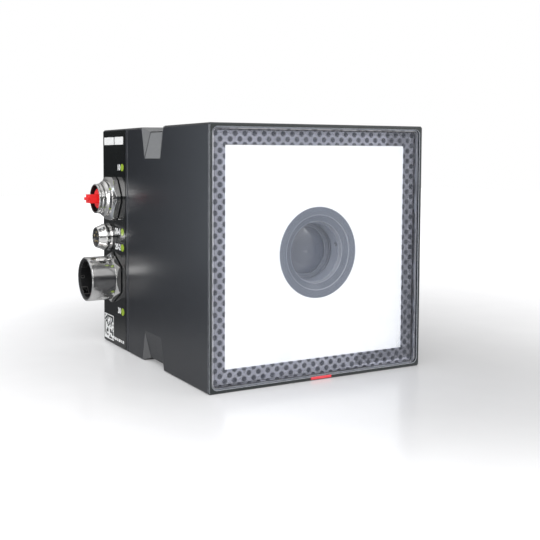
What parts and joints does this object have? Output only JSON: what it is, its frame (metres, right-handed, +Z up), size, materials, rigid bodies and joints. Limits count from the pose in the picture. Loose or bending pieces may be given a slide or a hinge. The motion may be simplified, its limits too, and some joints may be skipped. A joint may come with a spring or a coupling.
{
  "type": "machine vision camera with built-in square flash light",
  "caption": "Square box camera for machine vision with a built-in white flash light round its lens, wedge clamp notches and round sockets on one side.",
  "frame": {"origin": "centre of the bottom resting face", "axes": "+Z up, the light window faces -Y, the sockets stand out to -X; the lens axis is parallel to Y at half height"},
  "size_m": [0.1141, 0.107, 0.1],
  "materials": {
    "housing": "satin anthracite paint on die-cast aluminium",
    "seal": "matt black rubber",
    "screw_steel": "plain steel",
    "window_clear": "clear acrylic pane, polished",
    "bead": "clear sealing bead",
    "mask_grey": "lilac grey",
    "light_white": "opal diffuser, lit",
    "tray_white": "white reflector plastic",
    "board_green": "green circuit board",
    "emitter": "light emitting diode package",
    "hood_grey": "blue grey plastic",
    "lens_grey": "grey anodised metal",
    "lens_glass": "coated lens glass",
    "chassis_alu": "milled aluminium",
    "chip_black": "chip package",
    "flex_amber": "flexible circuit",
    "standoff_brass": "turned brass",
    "film_black": "black polyester film",
    "light_green": "yellow green light pipe, lit",
    "nickel": "nickel plated brass, turned",
    "insert_black": "black contact carrier",
    "contact_gold": "gilded contact",
    "plug_red": "red soft plastic"
  },
  "bodies": {
    "camera_body": {"front_housing": "housing", "rear_housing": "housing", "housing_seal": "seal", "housing_screws": "screw_steel", "window": "window_clear", "window_bead": "bead", "border_mask": "mask_grey", "diffuser": "light_white", "light_tray": "tray_white", "led_board": "board_green", "light_emitters": "emitter", "lens_hood": "hood_grey", "hood_lock_screw": "screw_steel", "lens_barrel": "lens_grey", "rear_lens": "lens_glass", "chassis_screws": "screw_steel", "camera_block": "chassis_alu", "image_sensor": "chip_black", "sensor_board": "board_green", "sensor_flex": "flex_amber", "light_flex": "flex_amber", "main_board": "board_green", "board_standoffs": "standoff_brass", "board_screws": "screw_steel", "processor_chip": "chip_black", "heat_spreader": "chassis_alu", "side_film": "film_black", "status_lights": "light_green", "upper_socket_shell": "nickel", "upper_socket_insert": "insert_black", "upper_socket_contacts": "contact_gold", "upper_socket_seal": "seal", "upper_socket_nut": "nickel", "lower_socket_shell": "nickel", "lower_socket_insert": "insert_black", "lower_socket_contacts": "contact_gold", "lower_socket_seal": "seal", "lower_socket_nut": "nickel", "small_socket_shell": "nickel", "small_socket_insert": "insert_black", "small_socket_contacts": "contact_gold"},
    "focus_ring_body": {"focus_ring": "lens_grey"},
    "lens_cell_body": {"lens_cell": "lens_grey", "front_lens": "lens_glass", "lens_retainer": "lens_grey"},
    "dust_plug_body": {"dust_plug": "plug_red"}
  },
  "joints": [
    {"name": "focus_turn", "type": "hinge", "parent": "camera_body", "child": "focus_ring_body", "pos_m": [0, -0.04, 0.05], "axis": [0, 1, 0], "range_deg": [-60, 60]},
    {"name": "focus_travel", "type": "slide", "parent": "camera_body", "child": "lens_cell_body", "axis": [0, 1, 0], "range_m": [-0.0009, 0.0009]},
    {"name": "dust_plug_pull", "type": "slide", "parent": "camera_body", "child": "dust_plug_body", "axis": [-1, 0, 0], "range_m": [0, 0.02]}
  ],
  "couplings": [
    {"joint": "focus_travel", "follows": "focus_turn", "m_per_rad": 0.00075}
  ]
}
